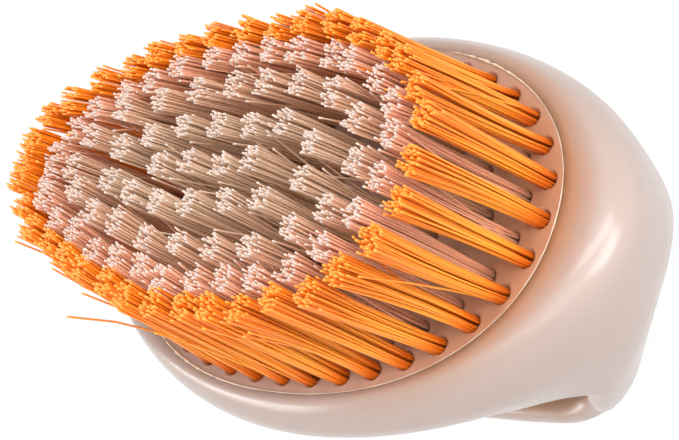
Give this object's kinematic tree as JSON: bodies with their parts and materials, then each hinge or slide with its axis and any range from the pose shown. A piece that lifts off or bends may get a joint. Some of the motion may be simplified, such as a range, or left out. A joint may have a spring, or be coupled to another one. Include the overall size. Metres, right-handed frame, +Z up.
{
  "type": "vegetable brush",
  "caption": "Palm-held vegetable brush: oval head with a wide finger loop on its back, stiff bristle rim round a softer bristle centre.",
  "frame": {"origin": "middle of the flat foot on the crown of the finger loop, below the middle of the head", "axes": "+X along the head from toe to heel, +Y across the head, +Z up out of the bristles"},
  "size_m": [0.0986, 0.06, 0.0694],
  "materials": {
    "body_plastic": "pearlescent cream moulded plastic, satin gloss",
    "plate_plastic": "cream moulded plastic, satin",
    "stiff_filament": "translucent orange nylon filament",
    "soft_filament": "translucent off-white nylon filament",
    "anchor_wire": "flat drawn steel wire"
  },
  "bodies": {
    "root": {"handle_body": "body_plastic", "bristle_plate": "plate_plastic", "stiff_bristles": "stiff_filament", "soft_1_bristles": "soft_filament", "soft_2_bristles": "soft_filament", "soft_3_bristles": "soft_filament", "soft_4_bristles": "soft_filament", "stiff_anchors": "anchor_wire", "soft_1_anchors": "anchor_wire", "soft_2_anchors": "anchor_wire", "soft_3_anchors": "anchor_wire", "soft_4_anchors": "anchor_wire"}
  },
  "joints": []
}
